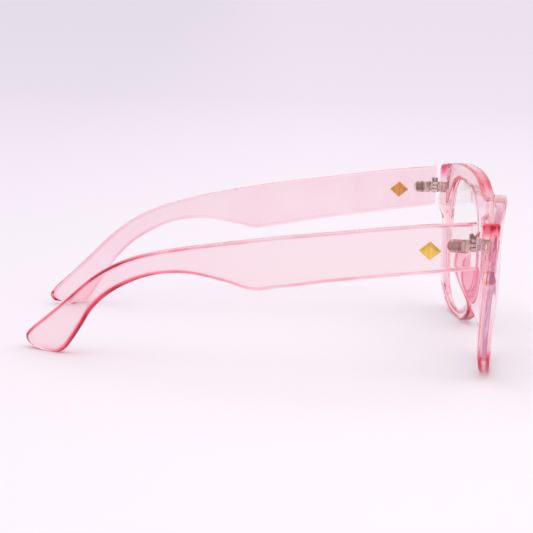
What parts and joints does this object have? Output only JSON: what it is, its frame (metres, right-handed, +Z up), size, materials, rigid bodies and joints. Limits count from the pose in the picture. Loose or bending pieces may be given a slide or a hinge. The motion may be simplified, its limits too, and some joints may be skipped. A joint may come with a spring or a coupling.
{
  "type": "blue light glasses",
  "caption": "Clear pink plastic spectacles with plain rounded-square lenses, moulded nose pads and flat folding temples on metal hinges.",
  "frame": {"origin": "middle of the footprint, on the ground under the rims' feet and the temple tips", "axes": "+Y back along the open temples, -Y the way the wearer looks, +X the wearer's left, +Z up"},
  "size_m": [0.14, 0.154, 0.055],
  "materials": {
    "frame_plastic": "polished clear pink acetate",
    "lens": "clear with a faint violet coating",
    "hinge_metal": "dull nickel",
    "screw_metal": "turned, dull",
    "gold_inlay": "satin gold"
  },
  "bodies": {
    "front": {"front_frame": "frame_plastic", "lens_left": "lens", "lens_right": "lens", "hinge_front_leaf_left": "hinge_metal", "hinge_front_leaf_right": "hinge_metal", "hinge_screw_left": "screw_metal", "hinge_screw_right": "screw_metal"},
    "temple_left": {"temple_left": "frame_plastic", "hinge_temple_leaf_left": "hinge_metal", "inlay_left": "gold_inlay"},
    "temple_right": {"temple_right": "frame_plastic", "hinge_temple_leaf_right": "hinge_metal", "inlay_right": "gold_inlay"}
  },
  "joints": [
    {"name": "left_temple_fold", "type": "hinge", "parent": "front", "child": "temple_left", "pos_m": [0.0641, -0.06162, 0.0438], "axis": [0, 0, 1], "range_deg": [0, 77]},
    {"name": "right_temple_fold", "type": "hinge", "parent": "front", "child": "temple_right", "pos_m": [-0.0641, -0.06162, 0.0438], "axis": [0, 0, -1], "range_deg": [0, 60]}
  ]
}
